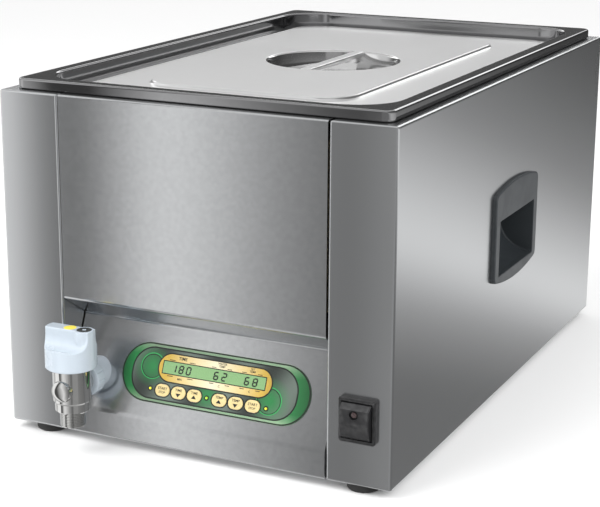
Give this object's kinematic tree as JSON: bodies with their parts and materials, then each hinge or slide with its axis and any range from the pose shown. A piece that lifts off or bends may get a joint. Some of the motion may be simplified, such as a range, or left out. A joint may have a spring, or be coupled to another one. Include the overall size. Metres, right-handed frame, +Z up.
{
  "type": "sous vide water bath",
  "caption": "Counter-top sous vide water bath: folded steel casing, lidded tank, drain valve, sloped key panel with display, power switch and recessed side handles.",
  "frame": {"origin": "centre of the footprint at the underside of the feet", "axes": "+Z up, +Y from the front panel to the rear panel, +X to the right as seen from the front"},
  "size_m": [0.388, 0.664, 0.3275],
  "materials": {
    "brushed_steel": "brushed",
    "polished_steel": "satin polished",
    "steel_fastener": "bright",
    "chrome": "polished",
    "satin_nickel": "satin",
    "brass": "machined",
    "white_plastic": "gloss",
    "black_plastic": "satin",
    "grey_plastic": "fine texture",
    "yellow_plastic": "gloss",
    "overlay_print": "semi-gloss print",
    "key_plastic": "semi-gloss",
    "display_glass": "clear",
    "lamp_lens": "clear tinted",
    "red_lens": "tinted",
    "rubber": "matt",
    "seal_plastic": "PTFE",
    "mineral_wool": "fibrous",
    "heater_rubber": "matt silicone",
    "circuit_board": "solder resist",
    "dark_steel": "varnished",
    "lead_insulation": "silicone"
  },
  "bodies": {
    "casing": {"left_side_shell": "brushed_steel", "right_side_shell": "brushed_steel", "front_panel": "brushed_steel", "rear_panel": "brushed_steel", "base_plate": "brushed_steel", "casing_screws": "steel_fastener", "foot_screws": "steel_fastener", "rubber_feet": "rubber", "left_handle": "grey_plastic", "right_handle": "grey_plastic", "bath_tank": "polished_steel", "rim_seal": "rubber", "tank_insulation": "mineral_wool", "heating_mat": "heater_rubber", "heater_clamp_plate": "brushed_steel", "temp_probe": "polished_steel", "safety_thermostat": "black_plastic", "drain_flange": "brass", "drain_gasket": "rubber", "drain_nut": "brass", "drain_pipe": "polished_steel", "valve_body": "chrome", "ball_seats": "seal_plastic", "valve_bonnet": "brass", "union_nut": "satin_nickel", "wall_rosette": "satin_nickel", "wedge_washer": "brass", "tail_lock_nut": "brass", "control_overlay": "overlay_print", "display_window": "display_glass", "display_module": "dark_steel", "indicator_lamps": "lamp_lens", "control_board": "circuit_board", "board_standoffs": "steel_fastener", "power_board": "circuit_board", "transformer": "dark_steel", "heater_leads": "lead_insulation", "mains_leads": "lead_insulation", "switch_bezel": "black_plastic", "switch_housing": "black_plastic", "gland_body": "black_plastic", "gland_nut": "black_plastic", "gland_seal": "rubber", "gland_lock_nut": "black_plastic"},
    "lid": {"lid_panel": "polished_steel", "lid_handle_bar": "polished_steel"},
    "false_bottom": {"false_bottom": "polished_steel"},
    "valve_handle": {"valve_ball": "chrome", "valve_stem": "brass", "valve_cap": "white_plastic", "cap_plug": "black_plastic", "cap_marker": "yellow_plastic"},
    "rocker": {"switch_rocker": "black_plastic", "pilot_lens": "red_lens"},
    "time_start_key": {"time_start_key": "key_plastic"},
    "time_down_key": {"time_down_key": "key_plastic"},
    "time_up_key": {"time_up_key": "key_plastic"},
    "heat_up_key": {"heat_up_key": "key_plastic"},
    "heat_down_key": {"heat_down_key": "key_plastic"},
    "heat_start_key": {"heat_start_key": "key_plastic"}
  },
  "joints": [
    {"name": "lid_lift", "type": "slide", "parent": "casing", "child": "lid", "axis": [0, 0, 1], "range_m": [0, 0.15]},
    {"name": "false_bottom_lift", "type": "slide", "parent": "casing", "child": "false_bottom", "axis": [0, 0, 1], "range_m": [0, 0.15]},
    {"name": "valve_turn", "type": "hinge", "parent": "casing", "child": "valve_handle", "pos_m": [-0.104, -0.309, 0.064], "axis": [0, 0, 1], "range_deg": [0, 90]},
    {"name": "rocker_tilt", "type": "hinge", "parent": "casing", "child": "rocker", "pos_m": [0.16, -0.2825, 0.068], "axis": [1, 0, 0], "range_deg": [0, 10]},
    {"name": "time_start_press", "type": "slide", "parent": "casing", "child": "time_start_key", "axis": [0, 0.9143, -0.4051], "range_m": [0, 0.0006], "stiffness_N_per_m": 1500},
    {"name": "time_down_press", "type": "slide", "parent": "casing", "child": "time_down_key", "axis": [0, 0.9143, -0.4051], "range_m": [0, 0.0006], "stiffness_N_per_m": 1500},
    {"name": "time_up_press", "type": "slide", "parent": "casing", "child": "time_up_key", "axis": [0, 0.9143, -0.4051], "range_m": [0, 0.0006], "stiffness_N_per_m": 1500},
    {"name": "heat_up_press", "type": "slide", "parent": "casing", "child": "heat_up_key", "axis": [0, 0.9143, -0.4051], "range_m": [0, 0.0006], "stiffness_N_per_m": 1500},
    {"name": "heat_down_press", "type": "slide", "parent": "casing", "child": "heat_down_key", "axis": [0, 0.9143, -0.4051], "range_m": [0, 0.0006], "stiffness_N_per_m": 1500},
    {"name": "heat_start_press", "type": "slide", "parent": "casing", "child": "heat_start_key", "axis": [0, 0.9143, -0.4051], "range_m": [0, 0.0006], "stiffness_N_per_m": 1500}
  ]
}
